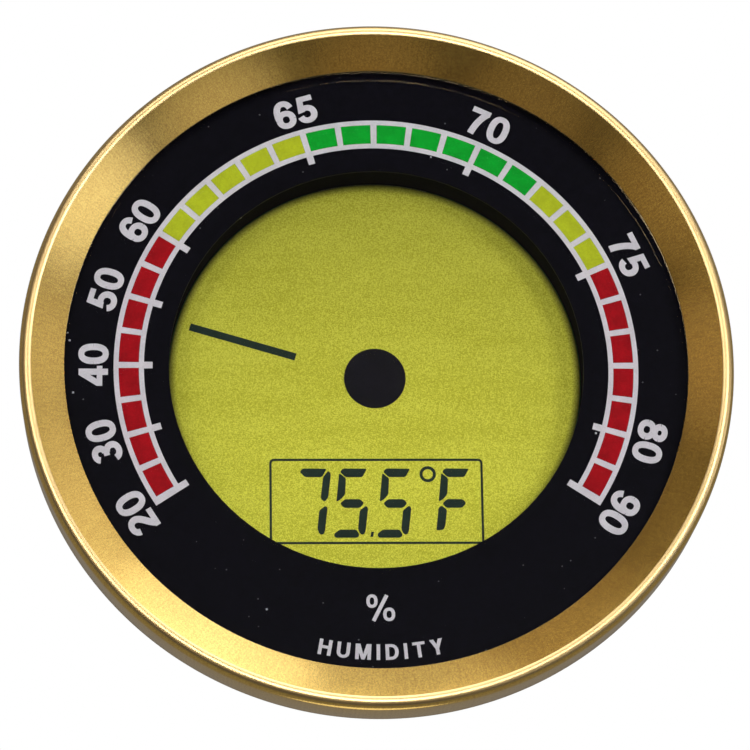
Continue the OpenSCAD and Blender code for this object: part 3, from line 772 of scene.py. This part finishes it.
# The room is dark in front and dim behind, as the metal mirrors it. The camera sees plain white.
world = bpy.data.worlds.new("world")
bpy.context.scene.world = world
world.use_nodes = True
nodes, links = world.node_tree.nodes, world.node_tree.links
back = nodes["Background"]
back.inputs["Color"].default_value = (1, 1, 1, 1)
FRONT_LEVEL, BACK_LEVEL, WHITE_LEVEL = 0.03, 0.22, 1.0
FRONT_Y, BACK_Y = -0.35, 0.25    # directions between which the room turns from dark to dim
coord = nodes.new("ShaderNodeTexCoord")
split = nodes.new("ShaderNodeSeparateXYZ")
room = nodes.new("ShaderNodeMapRange")
room.interpolation_type = "SMOOTHSTEP"
for key, v in (("From Min", FRONT_Y), ("From Max", BACK_Y), ("To Min", FRONT_LEVEL), ("To Max", BACK_LEVEL)):
    room.inputs[key].default_value = v
path = nodes.new("ShaderNodeLightPath")
level = nodes.new("ShaderNodeMapRange")
level.inputs["To Max"].default_value = WHITE_LEVEL
links.new(coord.outputs["Generated"], split.inputs[0])
links.new(split.outputs["Y"], room.inputs["Value"])
links.new(room.outputs["Result"], level.inputs["To Min"])
links.new(path.outputs["Is Camera Ray"], level.inputs["Value"])
links.new(level.outputs["Result"], back.inputs["Strength"])

TARGET = at(0, 0, 11)            # where the softboxes aim
AWAY = 0.8                       # how far off they stand, in metres
BEAM = math.radians(30)          # half of each softbox's beam, as a grid on it would make it


def softbox(name, way, radiance, size=0.27, color=(1, 1, 1)):
    """Round area light in a direction given in the dial's frame, aimed at the dial. radiance is how bright
    it looks from there."""
    light = bpy.data.lights.new(name, "AREA")
    light.shape = "DISK"
    light.size = size
    light.spread = 2 * BEAM
    light.color = color
    # A narrower beam makes the light look brighter by this factor.
    focus = math.tan(BEAM) / (math.tan(BEAM) - BEAM)
    light.energy = radiance * math.pi * math.pi * size * size / 4 / focus
    obj = bpy.data.objects.new(name, light)
    away = Vector((way[0], -way[2], way[1])).normalized()
    obj.location = TARGET + away * AWAY
    obj.rotation_euler = away.to_track_quat("Z", "Y").to_euler()
    obj.visible_camera = False
    bpy.context.scene.collection.objects.link(obj)


WIDE, BAND = 0.36, 0.45
WARM, COOL = (1, 0.80, 0.60), (0.92, 1, 1.25)
# These light the face and draw the highlights along the crest.
softbox("front_middle", (0.00, -0.12, 0.99), 13.5)
softbox("front_right", (0.47, 0.14, 0.87), 10.2)
softbox("front_left", (-0.40, 0.14, 0.91), 7.5)
softbox("upper_left", (-0.30, 0.68, 0.67), 3.5, size=0.20)
softbox("upper_middle", (0.00, 0.77, 0.64), 3.6, size=BAND)
softbox("upper_right", (0.32, 0.72, 0.62), 2.5, size=BAND)
# These draw highlights on the shoulder, below and at the right.
softbox("rear_low", (0.00, -0.75, -0.66), 1.2, size=WIDE)
softbox("side_right", (0.97, 0.05, 0.15), 2.0)
# The dish mirrors these towards the camera, each on the side across from the light.
softbox("right", (0.79, -0.13, 0.60), 1.30, size=WIDE, color=COOL)
softbox("right_low", (0.53, -0.54, 0.65), 0.56, size=WIDE)
softbox("right_high", (0.83, 0.30, 0.47), 0.66, size=WIDE)
softbox("above_right", (0.67, 0.65, 0.35), 0.90, size=WIDE)
softbox("above", (0.39, 0.88, 0.28), 1.80, size=WIDE, color=COOL)
softbox("above_middle", (0.05, 0.96, 0.27), 0.58, size=WIDE)
softbox("above_left", (-0.30, 0.90, 0.32), 0.30, size=WIDE, color=WARM)
softbox("left_high", (-0.60, 0.67, 0.43), 0.15, size=WIDE, color=WARM)
softbox("left", (-0.77, 0.30, 0.56), 0.34, size=WIDE, color=WARM)
softbox("left_low", (-0.72, -0.15, 0.68), 0.22, size=WIDE, color=WARM)
softbox("below_left", (-0.44, -0.56, 0.70), 0.16, size=WIDE, color=WARM)
softbox("below", (0.05, -0.71, 0.70), 0.18, size=WIDE, color=WARM)

# ------------------------------------------------------------------ camera

# The photograph's view: degrees round the dial, up and about the view, and metres from the print.
AZIMUTH, ELEVATION, ROLL = -3.085, -17.228, -0.875
DISTANCE, LENS_MM, SENSOR = 0.290, 173.62, 36
SHIFT = (-0.00247, -0.01172)
az, el, roll = (math.radians(v) for v in (AZIMUTH, ELEVATION, ROLL))
toward = Vector((math.sin(az) * math.cos(el), -math.cos(az) * math.cos(el), math.sin(el)))
right = (-toward).cross(Vector((0, 0, 1))).normalized()
up = right.cross(-toward)
right, up = right * math.cos(roll) + up * math.sin(roll), up * math.cos(roll) - right * math.sin(roll)
cam = bpy.data.cameras.new("camera")
cam.lens, cam.sensor_width = LENS_MM, SENSOR
cam.shift_x, cam.shift_y = SHIFT
cam.clip_start, cam.clip_end = 0.01, 10
camera = bpy.data.objects.new("camera", cam)
place = Matrix((right, up, toward)).transposed().to_4x4()
place.translation = at(0, 0, PRINT_Z) + toward * DISTANCE
camera.matrix_world = place
bpy.context.scene.collection.objects.link(camera)
bpy.context.scene.camera = camera

bpy.context.scene.view_settings.view_transform = "Standard"
